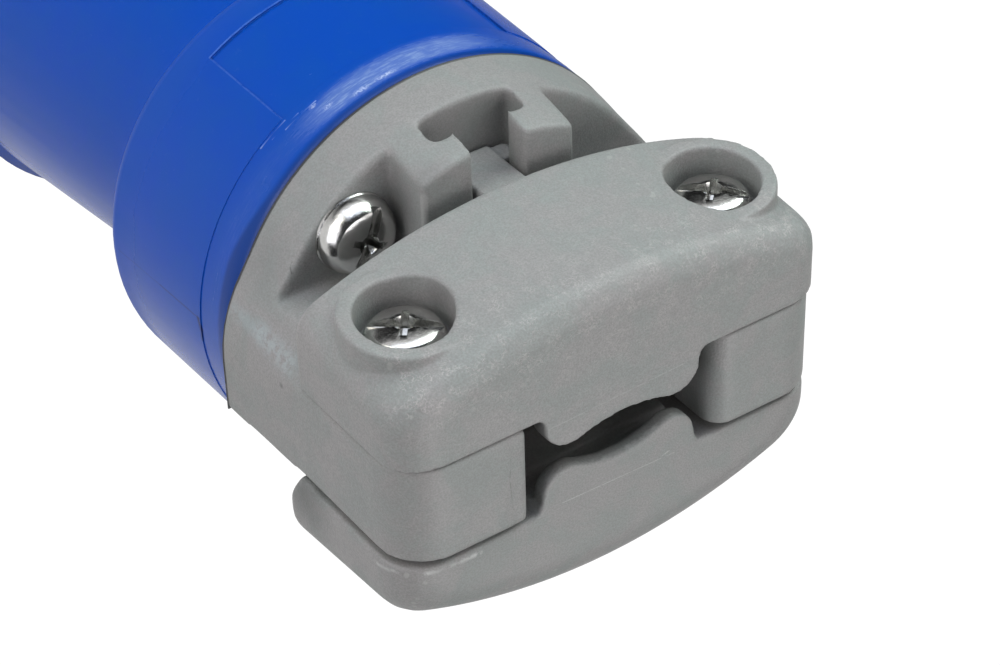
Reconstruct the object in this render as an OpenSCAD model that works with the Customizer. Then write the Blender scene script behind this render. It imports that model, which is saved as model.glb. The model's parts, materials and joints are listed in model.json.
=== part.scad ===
// Pin and sleeve plug, two poles and earth, standing on the rim of its sleeve.
// Z runs along the plug axis, from the sleeve rim at 0 up to the cord end.
// The heads of the clamp screws face -Y, and the earth pin and its key lie towards +Y.

/* [Sleeve housing] */
// Length from the sleeve rim to the joint with the back shell
housing_len = 104; // [95:0.5:120]
// Outer radius of the sleeve
sleeve_r = 21.9; // [21:0.1:23]
// Wall of the collar
collar_wall = 2.8; // [2.4:0.1:2.9]
// Wall of the neck
neck_wall = 2.2; // [1.8:0.1:2.4]
// Wall of the sleeve
sleeve_wall = 2.4; // [1.8:0.1:2.8]
// Depth of the sleeve, from the rim to the face of the pin carrier
sleeve_depth = 38; // [34:0.5:42]
// Length of the straight part of the sleeve
sleeve_straight = 43; // [41:0.5:48]
// Outer radius of the neck where it meets the collar
neck_r = 17.9; // [17.6:0.1:19]
// Step in from the sleeve to the foot of the neck
neck_step = 0.95; // [0.4:0.05:1.2]
// Outer radius of the collar
collar_r = 23.7; // [23.4:0.1:26]
// How much the collar narrows towards its band
collar_draft = 0.45; // [0.1:0.05:0.6]
// Length of the collar
collar_len = 22.6; // [19:0.2:26]
// Length of the lower band at the end of the collar
band_len = 4.4; // [3:0.2:7]
// Step from the collar down to its band
band_drop = 0.1; // [0.06:0.02:0.3]
// Further step from the band down to the floor of the label field
label_drop = 0.12; // [0.06:0.02:0.2]
// Half angle of the label field round the collar
label_half_angle = 33; // [20:0.5:45]
// Length of the label field past the band
label_len = 14; // [8:0.2:15]
// Width of the key along the sleeve
key_w = 6.5; // [4:0.5:9]
// Height of the key over the sleeve
key_h = 1.8; // [1:0.1:1.8]

/* [Back shell] */
// Length from the joint to the cord end of the clamp posts
clamp_len = 30; // [28:0.1:34]
// Step in from the collar to the dome at the joint
dome_step = 0.6; // [0.4:0.05:1.1]
// Radius of the curve of the dome along the axis
dome_curve_r = 75; // [60:1:120]
// Lean of the dome wall at the joint, in degrees
dome_lean = 5.5; // [4:0.5:8]
// Thickness of the end wall
end_wall = 5.2; // [4.6:0.1:6]
// How far the side rails stand out past the collar at the joint
rail_proud = 0.5; // [0.2:0.05:0.8]
// Radius that rounds the rails over into the dome at the joint
rail_round = 17; // [12:1:20]
// Step in from the collar to the outer faces of the posts
post_step = 0.05; // [0:0.05:0.6]
// Half width of the cord space between the posts
cord_space_x = 10.4; // [10.2:0.1:11.5]
// Height of the posts above the axis, towards the screw heads
post_front = 5.1; // [4.5:0.1:6]
// Height of the posts below the axis, towards the nuts
post_back = 5.5; // [4.5:0.1:6]
// Radius of the cord hole in the end wall
cord_hole_r = 8; // [6:0.1:8]
// Depth of the spigot that enters the housing
spigot_len = 6; // [4:0.5:9]

/* [Clamp jaws] */
// Distance from the joint to the front face of the jaws
jaw_front = 12.8; // [12.4:0.1:14.5]
// Step in from the collar to the outer faces of the jaws
jaw_step = 0; // [0:0.05:0.6]
// How far the back jaw stays short of the cord end
back_jaw_short = 0.6; // [0:0.1:1]
// Height of the front jaw over the axis at its front face
front_jaw_top = 18; // [17:0.1:20]
// Height of the back jaw over the axis at its front face
back_jaw_top = 19.6; // [17.5:0.1:20.5]
// Radius of the arch over the front jaw
front_arch_r = 60; // [50:1:120]
// Radius of the arch over the back jaw
back_arch_r = 54; // [48:1:100]
// Slope of the jaw tops towards the cord end, in degrees
jaw_tilt = 5.5; // [2:0.5:7]
// Radius of the plan corners of the posts at the cord end
post_corner_r = 5; // [4:0.5:7]
// Radius of the plan corners of the jaws at the cord end
jaw_plan_r = 4.2; // [3.4:0.2:6]
// Rounding of the front jaw along its top corners
front_corner_r = 3.3; // [2:0.1:4]
// Rounding of the back jaw along its top corners
back_corner_r = 5; // [3:0.5:6]
// Rounding of the front jaw top at the cord end
front_nose_r = 2.3; // [1.2:0.1:3.4]
// Rounding of the back jaw top at the cord end
back_nose_r = 5.4; // [2:0.2:6]
// Reach of the back jaw ears past the front face of the jaw
ear_reach = 3.4; // [3:0.1:4.4]
// Rise of the front line of an ear over the foot of the jaw
ear_rise = 5.6; // [5:0.2:7]
// Seam left between the front jaw and the posts
front_seam = 0.12; // [0.05:0.01:0.5]
// Seam left between the back jaw and the posts
back_seam = 0.5; // [0.05:0.05:0.8]
// Radius of the cord saddle in the front jaw
front_saddle_r = 14; // [10:0.5:18]
// Radius of the cord saddle in the back jaw
back_saddle_r = 10.8; // [9:0.2:14]
// Distance from the axis to the saddle of the front jaw
front_saddle = 2.15; // [1.8:0.05:2.5]
// Distance from the axis to the saddle of the back jaw
back_saddle = 3.45; // [3:0.05:3.8]
// Distance from the axis to the crests of the front jaw ribs
front_crest = 1.15; // [0.9:0.05:1.4]
// Distance from the axis to the crests of the back jaw ribs
back_crest = 2.05; // [1.8:0.05:2.3]
// Half width of the gripping ribs at their sides
rib_x = 8.6; // [8:0.1:9]
// Rounding of the gripping ribs between their crests and sides
lobe_r = 2.7; // [2:0.1:3.2]
// Thickness of each gripping rib along the cord
rib_t = 4.2; // [3:0.1:5]

/* [Key and slot] */
// Reach of the block past the joint
block_len = 11.2; // [10.4:0.1:11.6]
// Half width of the wide part of the slot
slot_x = 5.1; // [4.4:0.1:5.6]
// Depth of the wide part of the slot along the axis
slot_len = 3; // [2.4:0.1:3.2]
// Half width of the open gap of the slot
gap_x = 2.8; // [2:0.1:3]
// Distance from the axis to the floor of the slot
slot_floor = 9; // [8.6:0.1:10]
// Height of the jaw keys over the axis
key_top = 16.6; // [14:0.1:17]
// Play between a jaw key and its slot on each side
key_play = 0.3; // [0.15:0.05:0.4]

/* [Screws] */
// Radius of the clamp and assembly screw shanks
screw_r = 2.05; // [1.8:0.05:2.2]
// Radius of the screw heads
head_r = 4.1; // [3.6:0.1:4.2]
// Height of the screw heads
head_h = 2.9; // [2.4:0.1:3.2]
// Distance of the clamp screws from the outer faces of the jaws
clamp_screw_in = 6.8; // [6.6:0.05:7.2]
// Distance of the clamp screws from the joint
clamp_screw_y = 20.8; // [19.8:0.05:21.5]
// Distance from the axis to the seat under the clamp screw heads
clamp_seat = 11.3; // [10:0.1:11.8]
// Radius of the pocket round a clamp screw head
pocket_r = 4.5; // [4.3:0.05:4.7]
// Wall of the raised rim round the pocket
pocket_wall = 1.5; // [1.1:0.1:1.7]
// Height of the pocket rim over the axis
pocket_rim = 15.3; // [14.8:0.1:16]
// Distance of the assembly screws from the wall of the collar
assembly_in = 2.5; // [2.35:0.05:2.55]
// Angle of the assembly screws round the plug axis, from the middle plane
assembly_angle = 46.7; // [46:0.1:46.9]
// Length of the assembly screw shanks
assembly_len = 22; // [18:0.5:24]
// Width across the flats of the clamp nuts
nut_flats = 8.7; // [8:0.1:8.9]
// Thickness of the clamp nuts
nut_t = 3.2; // [2.6:0.1:3.4]

/* [Contacts] */
// Radius of the circle through the pin centres
pin_circle_r = 10; // [9.6:0.1:10.2]
// Radius of the line pins
line_pin_r = 2.5; // [2:0.05:2.7]
// Radius of the earth pin
earth_pin_r = 3.5; // [2.8:0.05:3.6]
// Step from a pin up to its root in the carrier
root_step = 0.4; // [0.3:0.05:0.5]
// Distance from the rim to the tip of the line pins
line_pin_set = 7; // [4:0.5:12]
// Distance from the rim to the tip of the earth pin
earth_pin_set = 4; // [2:0.5:8]
// Radius of the line pin terminals
line_barrel_r = 3.6; // [3.3:0.05:3.7]
// Radius of the earth pin terminal
earth_barrel_r = 3.9; // [3.7:0.05:4]
// Thickness of the carrier flange
flange_t = 3; // [2.6:0.1:4]
// Radius of the carrier body behind its flange
carrier_r = 14.55; // [14.4:0.05:14.6]
// Length of the carrier body behind its flange
carrier_len = 17; // [12:0.5:18]
// Radius of the wire hole in a terminal
wire_r = 1.9; // [1.5:0.1:2]

/* [Hidden] */
$fn = 96;
eps = 0.01;
far = 80;
fit = 0.05;

// Heights along the axis
joint_z = housing_len;
end_z = joint_z + clamp_len;
wall_z = joint_z + end_wall;
flange_z = sleeve_depth + flange_t;
collar_z = joint_z - collar_len;
band_z = joint_z - band_len;
chamber_z = collar_z + 1.2;
mate_z = joint_z - spigot_len;
ledge_play = 0.3;
jaw_z = joint_z + jaw_front;
ledge_z = jaw_z - ledge_play;
ear_z = jaw_z - ear_reach;
back_ledge_z = ear_z - ledge_play;
block_z = joint_z + block_len;
screw_seat_z = wall_z + 0.5;
clamp_z = joint_z + clamp_screw_y;

// Housing
bore_r = sleeve_r - sleeve_wall;
collar_edge_r = collar_r - collar_draft;
band_r = collar_edge_r - band_drop;
chamber_r = collar_r - collar_wall;
neck_bore_r = neck_r - neck_wall;
rim_edge = 0.6;
shoulder_r = 1.8;
band_edge = 2.3;
band_edge_in = 0.7;
boss_r = 4.2;
boss_z = chamber_z - 1.5;
shoulder_len = 4.4;
neck_foot = 0.8;
key_root = 1;
key_ramp = 1.2;

// Gasket and cord seal
gasket_t = 0.8;
gasket_r = chamber_r + 1;
spigot_r = chamber_r - fit * 2;
spigot_wall = 2.2;
seal_wall = 1.8;
seal_lip = 1.2;
seal_foot = 3;

// Widths of the back shell and the jaws
dome_r = collar_r - dome_step;
rail_x = collar_r + rail_proud;
post_x = collar_r - post_step;
jaw_x = collar_r - jaw_step;

// Dome
dome_rc = dome_r - dome_curve_r * cos(dome_lean);
dome_zc = joint_z - dome_curve_r * sin(dome_lean);
cavity_y = slot_floor - 1;
post_edge = 2.2;
post_corner = 1;
rail_skin = 0.05;
post_foot_x = post_x - 3;

// Clamp
shank_play = 0.3;
hole_r = screw_r + shank_play;
clamp_screw_x = jaw_x - clamp_screw_in;
nut_seat = 9.5;
screw_tip = 13.7;
ear_x = 11;
ear_flare = 1.5;
ear_foot = 0.7;
front_edge = 0.6;
rib_set = 1;
web_drop = 2.6;
rib_flare = 1;
saddle_blend = 0.1;
key_head_r = 0.8;

// Assembly screws: one towards -Y, one diagonally across from it
assembly_sides = [[1, -1], [-1, 1]];
assembly_place_r = chamber_r - assembly_in;
assembly_place = assembly_place_r * [cos(assembly_angle), sin(assembly_angle)];
head_space = [0.12, 0.4];
block_x = assembly_place[0] - head_r - head_space[0];
pocket_y = assembly_place[1] - head_r - head_space[1];

// Contacts
pin_angle = [210, 330, 90];
carrier_screw_x = 16.4;
carrier_screw_r = 1.25;
carrier_head_r = 2.1;
carrier_head_h = 1.6;
carrier_screw_len = 12;
carrier_head_sink = 0.2;
root_cone = 0.6;
barrel_z = flange_z + 5;
barrel_len = 26;
barrier_len = 30;
wire_len = 12;
terminal_z = barrel_z + barrel_len - wire_len / 2;
terminal_sink = 0.6;
terminal_screw_r = 1.5;
terminal_head_r = 2.5;
terminal_head_h = 1.4;
barrier_t = 1.6;

// Points of an arc about a centre, from one angle to another
function arc(c, r, from, to, n) = [
  for (i = [0 : n]) let (a = from + (to - from) * i / n) c + r * [cos(a), sin(a)]
];

// Radius of the dome at a height
function dome_at(z) = dome_rc + sqrt(pow(dome_curve_r, 2) - pow(z - dome_zc, 2));

// How far a quarter round of radius r has come in, d before its end
function rounded(r, d) = d < r ? r - sqrt(r * r - pow(r - d, 2)) : 0;

// Outline of a jaw: an arch over its top, rounded into upright flanks by a corner radius
function arch(w, top, arch_r, corner, foot) = let (
  c = [w - corner, top - arch_r + sqrt(pow(arch_r - corner, 2) - pow(w - corner, 2))],
  lean = atan2(c[0], c[1] - top + arch_r)
) concat(
  [[w, foot]],
  arc(c, corner, 0, 90 - lean, 6),
  arc([0, top - arch_r], arch_r, 90 - lean, 90 + lean, 18),
  arc([-c[0], c[1]], corner, 90 + lean, 180, 6),
  [[-w, foot]]
);

// Turns a piece drawn upright on Z so that Z points to -Y
module face_front() {
  rotate([90, 0, 0]) children();
}

// The place of a clamp screw, with its head pointing to -Y
module at_clamp_screw(side) {
  translate([side * clamp_screw_x, 0, clamp_z]) face_front() children();
}

// The place of an assembly screw, by the signs of its X and Y
module at_assembly(sides) {
  translate([sides[0] * assembly_place[0], sides[1] * assembly_place[1], 0]) children();
}

module at_all_assembly() {
  for (sides = assembly_sides) at_assembly(sides) children();
}

// The place of a pin, turned so that +X points away from the plug axis
module at_pin(i) {
  rotate([0, 0, pin_angle[i]]) translate([pin_circle_r, 0, 0]) children();
}

// Pan head screw on Z: shank below 0, head above, with a slotted cross recess
module pan_screw(r, len, hr, hh) {
  recess_w = hr * 0.27;
  difference() {
    rotate_extrude() polygon(concat(
      [[0, -len], [r - 0.3, -len], [r, -len + 0.5], [r, 0], [hr - 0.15, 0], [hr, 0.2]],
      arc([hr - hh * 0.62, hh * 0.38], hh * 0.62, 0, 72, 6),
      [[0, hh]]
    ));
    translate([-hr, -recess_w / 2, hh * 0.7]) cube([hr * 2, recess_w, hh]);
    for (a = [0, 90]) rotate([0, 0, a]) {
      translate([-hr * 0.52, -recess_w / 2, hh * 0.3]) cube([hr * 1.04, recess_w, hh]);
    }
  }
}

// Outside of the housing: sleeve, tapering neck, shoulder and collar
module housing_form() {
  shoulder_foot = collar_z - shoulder_len;
  rotate_extrude() polygon(concat(
    [[0, 0], [sleeve_r - rim_edge, 0]],
    arc([sleeve_r - rim_edge, rim_edge], rim_edge, -60, 0, 3),
    [[sleeve_r, sleeve_straight], [sleeve_r - neck_step, sleeve_straight + neck_foot]],
    [[neck_r + 0.1, shoulder_foot - 1.6], [neck_r + 0.25, shoulder_foot - 0.6]],
    [[neck_r + 0.9, shoulder_foot + 0.3], [collar_r - shoulder_r - 0.6, collar_z - 0.9]],
    arc([collar_r - shoulder_r, collar_z + shoulder_r - 0.6], shoulder_r, -75, 0, 5),
    [[collar_edge_r, band_z], [band_r, band_z]],
    [for (a = [0 : 15 : 90]) [band_r - band_edge_in * (1 - cos(a)), joint_z - band_edge * (1 - sin(a))]],
    [[0, joint_z]]
  ));
}

// Key along the sleeve, with sloped ends
module sleeve_key() {
  top = sleeve_r + key_h;
  rotate([90, 0, 90]) linear_extrude(key_w, center = true) polygon([
    [sleeve_r - key_root, 0], [top - key_ramp / 2, 0], [top, key_ramp],
    [top, sleeve_straight - 2 * key_ramp], [sleeve_r - key_root, sleeve_straight - key_ramp / 2]
  ]);
}

// Bare field for a label, sunk into the collar on the side of the screw heads
module label_field() {
  floor_r = band_r - label_drop;
  rise = collar_draft * label_len / (collar_len - band_len - shoulder_r);
  rotate([0, 0, 270 - label_half_angle]) rotate_extrude(angle = 2 * label_half_angle) polygon([
    [floor_r, band_z], [collar_r + 2, band_z], [collar_r + 2, band_z - label_len],
    [floor_r + rise, band_z - label_len]
  ]);
}

// Chamber, carrier seat and sleeve bore
module housing_bores() {
  translate([0, 0, -eps]) cylinder(r = bore_r, h = flange_z + eps);
  translate([0, 0, flange_z - eps]) cylinder(r = carrier_r + fit, h = far);
  translate([0, 0, flange_z + carrier_len - 1]) cylinder(r = neck_bore_r, h = far);
  translate([0, 0, joint_z - gasket_t]) cylinder(r = gasket_r + fit, h = far);
}

module sleeve_housing() {
  color([0.01, 0.28, 0.68]) difference() {
    union() {
      difference() {
        union() {
          housing_form();
          sleeve_key();
        }
        housing_bores();
        translate([0, 0, chamber_z]) cylinder(r = chamber_r, h = far);
      }
      intersection() {
        at_all_assembly() translate([0, 0, boss_z]) cylinder(r = boss_r, h = mate_z - boss_z);
        cylinder(r = chamber_r + 1, h = far * 2);
      }
    }
    at_all_assembly() translate([0, 0, screw_seat_z - assembly_len - 1]) {
      cylinder(r = screw_r + fit, h = far);
    }
    for (side = [-1, 1]) translate([side * carrier_screw_x, 0, flange_z - eps]) {
      cylinder(r = carrier_screw_r + fit, h = carrier_screw_len);
    }
    label_field();
  }
}

// Outside of the dome, solid to the axis
module dome_form() {
  rotate_extrude() polygon(concat(
    [[0, joint_z]],
    [for (i = [0 : 10]) let (z = joint_z + (ledge_z - joint_z) * i / 10) [dome_at(z), z]],
    [[0, ledge_z]]
  ));
}

// Plan of one post, in X and height
function post_plan() = concat(
  [[cord_space_x, joint_z], [post_foot_x, joint_z], [post_foot_x, ledge_z], [post_x, ledge_z]],
  arc([post_x - post_corner_r, end_z - post_corner_r], post_corner_r, 0, 90, 10),
  arc([cord_space_x + post_edge, end_z - post_edge], post_edge, 90, 180, 4)
);

// Section of one side rail, a share of the way from the joint to the ledge: it rounds over
// into the dome towards -Y and keeps a corner towards +Y
function rail_section(share) = let (
  r = rail_round + (post_corner - rail_round) * share,
  x = rail_x + (post_x - rail_x) * share,
  y = (post_corner - post_front) * share,
  dome = dome_at(joint_z + (ledge_z - joint_z) * share) - rail_skin
) concat(
  [[cord_space_x, post_back], [x, post_back]],
  arc([x - r, y], r, 0, -35, 5),
  arc([0, 0], dome, -25, -50, 5),
  [[cord_space_x, -cord_space_x]]
);

// Rails and posts on both sides, each rail lofted through three sections
module rails() {
  for (side = [0, 1]) mirror([side, 0, 0]) {
    translate([0, post_back, 0]) face_front() linear_extrude(post_front + post_back) polygon(post_plan());
    hull() for (share = [0, 0.5, 1]) translate([0, 0, joint_z + (ledge_z - joint_z - eps) * share]) {
      linear_extrude(eps) polygon(rail_section(share));
    }
  }
}

// Spigot ring and screw columns that enter the housing
module spigot() {
  translate([0, 0, mate_z]) difference() {
    cylinder(r = spigot_r, h = spigot_len + eps);
    translate([0, 0, -eps]) cylinder(r = spigot_r - spigot_wall, h = spigot_len + eps);
  }
  intersection() {
    at_all_assembly() translate([0, 0, mate_z]) cylinder(r = boss_r, h = spigot_len + eps);
    cylinder(r = spigot_r, h = far * 2);
  }
}

// Space round the blocks that leaves the screw heads open to the cord end
module shell_pockets(y_side) {
  for (side = [0, 1]) mirror([side, 0, 0]) translate([block_x, 0, screw_seat_z]) {
    scale([1, y_side, 1]) translate([0, pocket_y, 0]) cube(far);
  }
  scale([1, y_side, 1]) translate([-far / 2, pocket_y, block_z]) cube(far);
}

// T-shaped slot that guides a jaw key
module key_slot(y_side) {
  scale([1, y_side, 1]) {
    translate([-slot_x, slot_floor, wall_z]) cube([slot_x * 2, far, slot_len]);
    translate([-gap_x, slot_floor, wall_z]) cube([gap_x * 2, far, far]);
  }
}

module back_shell() {
  color([0.55, 0.57, 0.56]) difference() {
    union() {
      dome_form();
      rails();
      spigot();
    }
    translate([0, 0, mate_z - eps]) cylinder(r = cord_hole_r, h = far);
    translate([0, 0, joint_z - eps]) cylinder(r = cord_hole_r + seal_lip, h = end_wall / 2 + eps);
    translate([-cord_space_x, -cavity_y, wall_z]) cube([cord_space_x * 2, cavity_y * 2, far]);
    for (y_side = [-1, 1]) {
      shell_pockets(y_side);
      key_slot(y_side);
    }
    for (side = [0, 1]) mirror([side, 0, 0]) translate([block_x, post_back, back_ledge_z]) {
      cube([far, pocket_y - post_back + eps, far]);
    }
    at_all_assembly() translate([0, 0, mate_z - 1]) cylinder(r = screw_r + fit, h = far);
    for (side = [-1, 1]) at_clamp_screw(side) translate([0, 0, -far / 2]) cylinder(r = hole_r, h = far);
  }
}

// Shape of a jaw: top height, arch radius, corner radius, nose radius, foot, cord end and side of Y
front_jaw = [front_jaw_top, front_arch_r, front_corner_r, front_nose_r, post_front + front_seam, end_z, -1];
back_jaw = [
  back_jaw_top, back_arch_r, back_corner_r, back_nose_r, post_back + back_seam, end_z - back_jaw_short, 1
];

// One thin slice of a jaw body at height z
module jaw_slice(jaw, z, front_in) {
  top_in = rounded(jaw[3], jaw[5] - z) + front_in;
  side_in = rounded(jaw_plan_r, jaw[5] - z) + front_in;
  fall = (z - jaw_z) * tan(jaw_tilt);
  translate([0, 0, z]) linear_extrude(eps) scale([1, jaw[6]]) {
    polygon(arch(jaw_x - side_in, jaw[0] - fall - top_in, jaw[1], jaw[2], jaw[4]));
  }
}

// Jaw body lofted through its slices from a height up, its plan corners and nose rounded
module jaw_body(jaw, from_z) {
  round_len = max(jaw_plan_r, jaw[3]);
  hull() {
    jaw_slice(jaw, from_z, front_edge);
    jaw_slice(jaw, from_z + front_edge, 0);
    for (a = [0 : 15 : 90]) jaw_slice(jaw, jaw[5] - eps - round_len * (1 - sin(a)), 0);
  }
}

// Section of a gripping rib: rounded shoulders, a saddle for the cord, and a flare at its foot
function rib_section(foot, crest, saddle, saddle_r) = let (
  c = saddle - saddle_r,
  dip = acos((crest + saddle_blend - c) / saddle_r)
) concat(
  [[rib_x + rib_flare, foot + 1], [rib_x + rib_flare, foot]],
  arc([rib_x + rib_flare, foot - rib_flare], rib_flare, 90, 180, 3),
  arc([rib_x - lobe_r, crest + lobe_r], lobe_r, 0, -90, 6),
  arc([0, c], saddle_r, 90 - dip, 90 + dip, 12),
  arc([-rib_x + lobe_r, crest + lobe_r], lobe_r, -90, -180, 6),
  arc([-rib_x - rib_flare, foot - rib_flare], rib_flare, 0, 90, 3),
  [[-rib_x - rib_flare, foot], [-rib_x - rib_flare, foot + 1]]
);

// Gripping ribs under a jaw, joined by a lower web
module jaw_ribs(jaw, crest, saddle, saddle_r) {
  foot = jaw[4];
  for (z = [jaw_z + rib_set, jaw[5] - rib_t]) translate([0, 0, z]) linear_extrude(rib_t) {
    scale([1, jaw[6]]) polygon(rib_section(foot, crest, saddle, saddle_r));
  }
  translate([0, 0, jaw_z + rib_set]) linear_extrude(jaw[5] - jaw_z - 2 * rib_set) scale([1, jaw[6]]) {
    translate([-rib_x, crest + web_drop]) square([rib_x * 2, foot - crest - web_drop + 1]);
  }
}

// Key that slides in the T-shaped slot of the end wall
module jaw_key(y_side) {
  foot = slot_floor + key_play;
  scale([1, y_side, 1]) {
    translate([-gap_x + key_play, foot, wall_z + key_play]) {
      cube([2 * (gap_x - key_play), key_top - foot, jaw_z - wall_z]);
    }
    translate([0, 0, wall_z + key_play]) linear_extrude(slot_len - 2 * key_play) polygon(concat(
      [[-slot_x + key_play, foot], [slot_x - key_play, foot]],
      arc([slot_x - key_play - key_head_r, key_top - 0.4 - key_head_r], key_head_r, 0, 90, 4),
      arc([-slot_x + key_play + key_head_r, key_top - 0.4 - key_head_r], key_head_r, 90, 180, 4)
    ));
  }
}

// Pocket rims, with their top sloped like the jaw
module pocket_rims() {
  intersection() {
    for (side = [-1, 1]) at_clamp_screw(side) translate([0, 0, clamp_seat]) {
      cylinder(r = pocket_r + pocket_wall, h = far / 4);
    }
    translate([0, -pocket_rim, clamp_z]) rotate([-jaw_tilt, 0, 0]) {
      translate([-far / 2, 0, -far / 2]) cube(far);
    }
  }
}

module clamp_jaw_front() {
  color([0.57, 0.60, 0.58]) difference() {
    union() {
      jaw_body(front_jaw, jaw_z);
      pocket_rims();
      jaw_ribs(front_jaw, front_crest, front_saddle, front_saddle_r);
      jaw_key(-1);
    }
    for (side = [-1, 1]) at_clamp_screw(side) {
      cylinder(r = hole_r, h = far);
      translate([0, 0, clamp_seat]) cylinder(r = pocket_r, h = far);
    }
  }
}

// Space before the middle of the back jaw and under its two ears
module ear_relief(foot) {
  translate([0, far / 2, 0]) face_front() linear_extrude(far) polygon([
    [-ear_x - ear_flare, ear_z - eps], [-ear_x, jaw_z], [ear_x, jaw_z], [ear_x + ear_flare, ear_z - eps]
  ]);
  rotate([90, 0, 90]) linear_extrude(far, center = true) polygon(concat(
    [[foot + ear_rise, ear_z - 1], [foot - 1, ear_z - 1], [foot - 1, jaw_z - ear_foot]],
    [for (a = [0 : 15 : 90]) [foot + ear_rise * a / 90, jaw_z - ear_foot - (ear_reach - ear_foot) * sin(a)]]
  ));
}

module clamp_jaw_back() {
  color([0.52, 0.54, 0.53]) difference() {
    union() {
      difference() {
        jaw_body(back_jaw, ear_z);
        ear_relief(back_jaw[4]);
      }
      jaw_ribs(back_jaw, back_crest, back_saddle, back_saddle_r);
      jaw_key(1);
    }
    for (side = [-1, 1]) at_clamp_screw(side) {
      translate([0, 0, -far / 2]) cylinder(r = hole_r, h = far / 2);
      translate([0, 0, -far / 2 - nut_seat]) {
        cylinder(r = (nut_flats / 2 + 0.1) / cos(30), h = far / 2, $fn = 6);
      }
    }
  }
}

module clamp_screw(side) {
  color([0.78, 0.78, 0.76]) at_clamp_screw(side) translate([0, 0, clamp_seat]) rotate([0, 0, 12 * side]) {
    pan_screw(screw_r, clamp_seat + screw_tip, head_r, head_h);
  }
}

module clamp_nut(side) {
  color([0.74, 0.74, 0.72]) at_clamp_screw(side) translate([0, 0, -nut_seat - nut_t]) difference() {
    cylinder(r = nut_flats / 2 / cos(30), h = nut_t, $fn = 6);
    translate([0, 0, -eps]) cylinder(r = screw_r + fit, h = nut_t + 2 * eps);
  }
}

module assembly_screw(i) {
  color([0.78, 0.78, 0.76]) at_assembly(assembly_sides[i]) translate([0, 0, screw_seat_z]) {
    rotate([0, 0, 35]) pan_screw(screw_r, assembly_len, head_r, head_h);
  }
}

module housing_gasket() {
  color([0.08, 0.08, 0.08]) translate([0, 0, joint_z - gasket_t]) difference() {
    cylinder(r = gasket_r, h = gasket_t);
    translate([0, 0, -eps]) cylinder(r = spigot_r + fit, h = gasket_t + 2 * eps);
  }
}

// Rubber bush in the cord hole, with a lip under the end wall
module cord_seal() {
  lip_r = cord_hole_r + seal_lip - fit;
  inner_r = cord_hole_r - seal_wall;
  color([0.1, 0.1, 0.1]) rotate_extrude() polygon([
    [inner_r, joint_z - seal_foot], [lip_r, joint_z - seal_foot], [lip_r, joint_z + end_wall / 2],
    [cord_hole_r - fit, joint_z + end_wall / 2], [cord_hole_r - fit, wall_z], [inner_r, wall_z]
  ]);
}

// Insulator that holds the pins, with barriers between the terminals
module pin_carrier() {
  color([0.16, 0.17, 0.18]) difference() {
    union() {
      translate([0, 0, sleeve_depth]) cylinder(r = bore_r - fit, h = flange_t);
      translate([0, 0, flange_z - eps]) cylinder(r = carrier_r, h = carrier_len);
      for (i = [0 : 2]) rotate([0, 0, pin_angle[i] + 60]) {
        translate([0, -barrier_t / 2, flange_z]) cube([carrier_r, barrier_t, barrier_len]);
      }
    }
    for (i = [0 : 2]) at_pin(i) {
      translate([0, 0, sleeve_depth - eps]) cylinder(r = root_r(i) + fit, h = far / 4);
      translate([0, 0, barrel_z]) cylinder(r = barrel_r(i) + fit, h = far / 2);
    }
    for (side = [-1, 1]) translate([side * carrier_screw_x, 0, sleeve_depth - eps]) {
      cylinder(r = carrier_screw_r + fit, h = far / 4);
      cylinder(r = carrier_head_r + 2 * fit, h = carrier_head_h + carrier_head_sink + eps);
    }
  }
}

module carrier_screw(side) {
  seat_z = sleeve_depth + carrier_head_h + carrier_head_sink;
  color([0.78, 0.78, 0.76]) translate([side * carrier_screw_x, 0, seat_z]) rotate([180, 0, 0]) {
    pan_screw(carrier_screw_r, carrier_screw_len - 1, carrier_head_r, carrier_head_h);
  }
}

// Sizes of the three contacts, by their number
function pin_r(i) = i == 2 ? earth_pin_r : line_pin_r;
function root_r(i) = pin_r(i) + root_step;
function barrel_r(i) = i == 2 ? earth_barrel_r : line_barrel_r;
function pin_set(i) = i == 2 ? earth_pin_set : line_pin_set;

// Solid pin with a rounded tip, a root held by the carrier and a terminal barrel behind
module contact_pin(i) {
  tip = pin_r(i) * 0.6;
  seat = barrel_r(i) - terminal_sink;
  difference() {
    at_pin(i) rotate_extrude() polygon(concat(
      [[0, pin_set(i)], [pin_r(i) - tip, pin_set(i)]],
      arc([pin_r(i) - tip, pin_set(i) + tip], tip, -75, 0, 5),
      [[pin_r(i), sleeve_depth - root_cone], [root_r(i), sleeve_depth], [root_r(i), barrel_z]],
      [[barrel_r(i), barrel_z], [barrel_r(i), barrel_z + barrel_len]],
      [[0, barrel_z + barrel_len]]
    ));
    at_pin(i) translate([0, 0, barrel_z + barrel_len - wire_len]) cylinder(r = wire_r, h = far);
    at_pin(i) translate([0, 0, terminal_z]) rotate([0, 90, 0]) {
      cylinder(r = terminal_screw_r + fit, h = far / 2);
      translate([0, 0, seat]) cylinder(r = terminal_head_r + 0.2, h = far / 2);
    }
  }
}

module terminal_screw(i) {
  seat = barrel_r(i) - terminal_sink;
  color([0.78, 0.78, 0.76]) at_pin(i) translate([seat, 0, terminal_z]) rotate([0, 90, 0]) {
    pan_screw(terminal_screw_r, seat - 0.3, terminal_head_r, terminal_head_h);
  }
}

module line_pin(i) {
  color([0.80, 0.64, 0.32]) contact_pin(i);
}

module earth_pin() {
  color([0.80, 0.64, 0.32]) contact_pin(2);
}

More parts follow.
